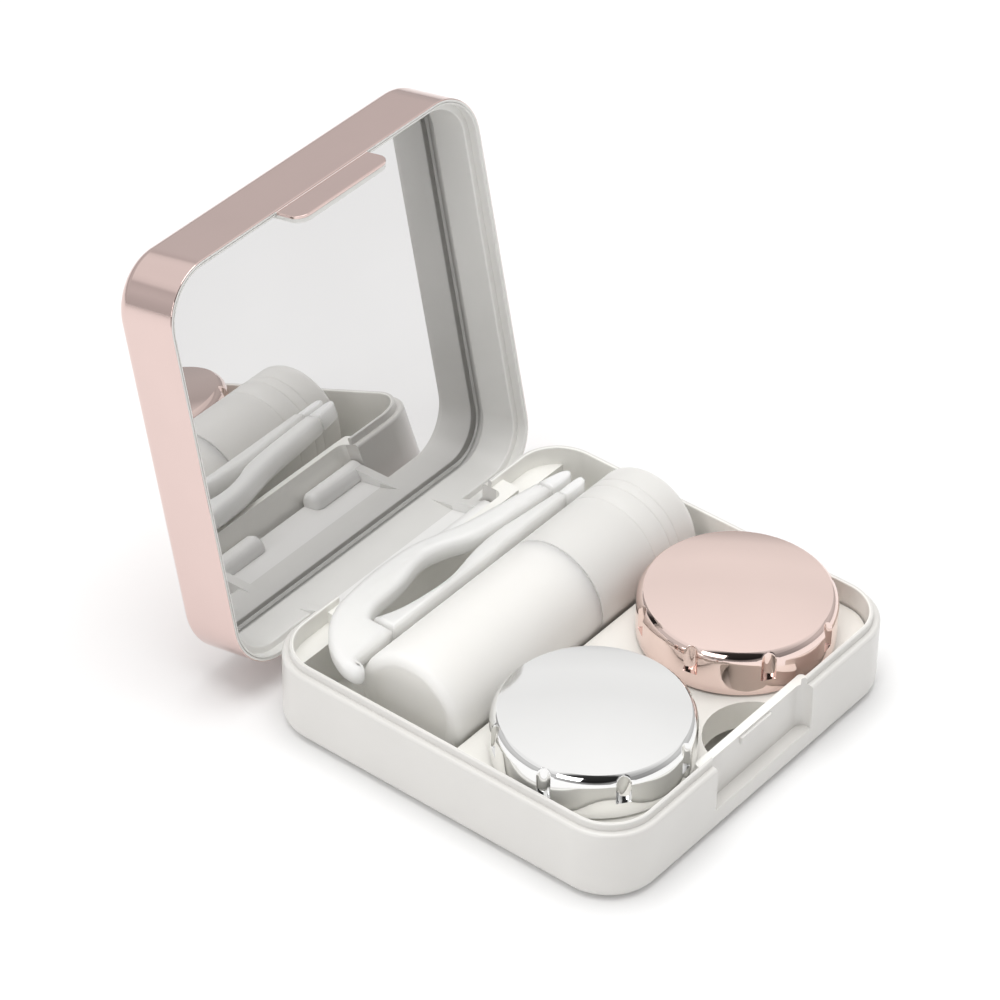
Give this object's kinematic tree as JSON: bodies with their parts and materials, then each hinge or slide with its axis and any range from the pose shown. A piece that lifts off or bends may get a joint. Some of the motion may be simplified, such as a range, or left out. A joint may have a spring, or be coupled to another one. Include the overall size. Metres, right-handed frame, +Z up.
{
  "type": "contact lens case",
  "caption": "Flat square travel case with a mirrored flip lid, holding a lens case with screw caps, a dropper bottle and tweezers.",
  "frame": {"origin": "centre of the flat underside of the base tray", "axes": "+Z up, -Y towards the catch at the front, +Y towards the hinge, +X to the right"},
  "size_m": [0.066, 0.0899, 0.0689],
  "materials": {
    "base_tray": "white moulded plastic, glossy",
    "hinge_pin_left": "plain steel",
    "hinge_pin_right": "plain steel",
    "lid_shell": "rose gold plated plastic",
    "lid_liner": "white moulded plastic, glossy",
    "mirror": "silvered, bevelled edge",
    "mirror_adhesive_pad": "foam tape",
    "lens_case_body": "white moulded plastic",
    "left_cap_seal": "soft pale disc",
    "left_cap_silver": "silver plated plastic",
    "right_cap_seal": "soft pale disc",
    "right_cap_rose": "rose gold plated plastic",
    "bottle_body": "frosted translucent plastic",
    "bottle_dropper_plug": "translucent plastic",
    "bottle_cap_seal": "soft pale ring",
    "bottle_cap": "frosted translucent plastic",
    "tweezers_rear_arm": "milky plastic",
    "tweezers_front_arm": "milky plastic",
    "tweezers_rear_tip": "soft clear tip",
    "tweezers_front_tip": "soft clear tip"
  },
  "bodies": {
    "base": {"base_tray": "base_tray", "hinge_pin_left": "hinge_pin_left", "hinge_pin_right": "hinge_pin_right"},
    "lid": {"lid_shell": "lid_shell", "lid_liner": "lid_liner", "mirror": "mirror", "mirror_adhesive_pad": "mirror_adhesive_pad"},
    "lens_case": {"lens_case_body": "lens_case_body"},
    "left_seal": {"left_cap_seal": "left_cap_seal"},
    "left_cap": {"left_cap_silver": "left_cap_silver"},
    "right_seal": {"right_cap_seal": "right_cap_seal"},
    "right_cap": {"right_cap_rose": "right_cap_rose"},
    "bottle": {"bottle_body": "bottle_body", "bottle_dropper_plug": "bottle_dropper_plug"},
    "bottle_seal": {"bottle_cap_seal": "bottle_cap_seal"},
    "bottle_cap": {"bottle_cap": "bottle_cap"},
    "tweezers": {"tweezers_rear_arm": "tweezers_rear_arm", "tweezers_rear_tip": "tweezers_rear_tip"},
    "tweezers_front": {"tweezers_front_arm": "tweezers_front_arm", "tweezers_front_tip": "tweezers_front_tip"}
  },
  "joints": [
    {"name": "lid_hinge", "type": "hinge", "parent": "base", "child": "lid", "pos_m": [0, 0.0306, 0.00763], "axis": [-1, 0, 0], "range_deg": [-101.7, 0]},
    {"name": "lens_case_lift", "type": "slide", "parent": "base", "child": "lens_case", "axis": [0, 0, 1], "range_m": [0, 0.025]},
    {"name": "left_cap_rise", "type": "slide", "parent": "lens_case", "child": "left_seal", "axis": [0, 0, 1], "range_m": [0, 0.005]},
    {"name": "left_cap_turn", "type": "hinge", "parent": "left_seal", "child": "left_cap", "pos_m": [-0.01653, -0.01485, 0.0148], "axis": [0, 0, 1], "range_deg": [0, 450]},
    {"name": "right_cap_rise", "type": "slide", "parent": "lens_case", "child": "right_seal", "axis": [0, 0, 1], "range_m": [0, 0.005]},
    {"name": "right_cap_turn", "type": "hinge", "parent": "right_seal", "child": "right_cap", "pos_m": [0.01653, -0.01485, 0.0148], "axis": [0, 0, 1], "range_deg": [0, 450]},
    {"name": "bottle_lift", "type": "slide", "parent": "base", "child": "bottle", "axis": [0, 0, 1], "range_m": [0, 0.025]},
    {"name": "bottle_cap_travel", "type": "slide", "parent": "bottle", "child": "bottle_seal", "axis": [1, 0, 0], "range_m": [0, 0.00275]},
    {"name": "bottle_cap_turn", "type": "hinge", "parent": "bottle_seal", "child": "bottle_cap", "pos_m": [0.005, 0.00915, 0.01075], "axis": [1, 0, 0], "range_deg": [0, 450]},
    {"name": "tweezers_lift", "type": "slide", "parent": "base", "child": "tweezers", "axis": [0, 0, 1], "range_m": [0, 0.02]},
    {"name": "tweezers_squeeze", "type": "hinge", "parent": "tweezers", "child": "tweezers_front", "pos_m": [-0.0198, 0.0201, 0.0137], "axis": [0, 0, 1], "range_deg": [0, 1]}
  ],
  "couplings": [
    {"joint": "left_cap_rise", "follows": "left_cap_turn", "m_per_rad": 0.00063661},
    {"joint": "right_cap_rise", "follows": "right_cap_turn", "m_per_rad": 0.00063661},
    {"joint": "bottle_cap_travel", "follows": "bottle_cap_turn", "m_per_rad": 0.00035013}
  ]
}
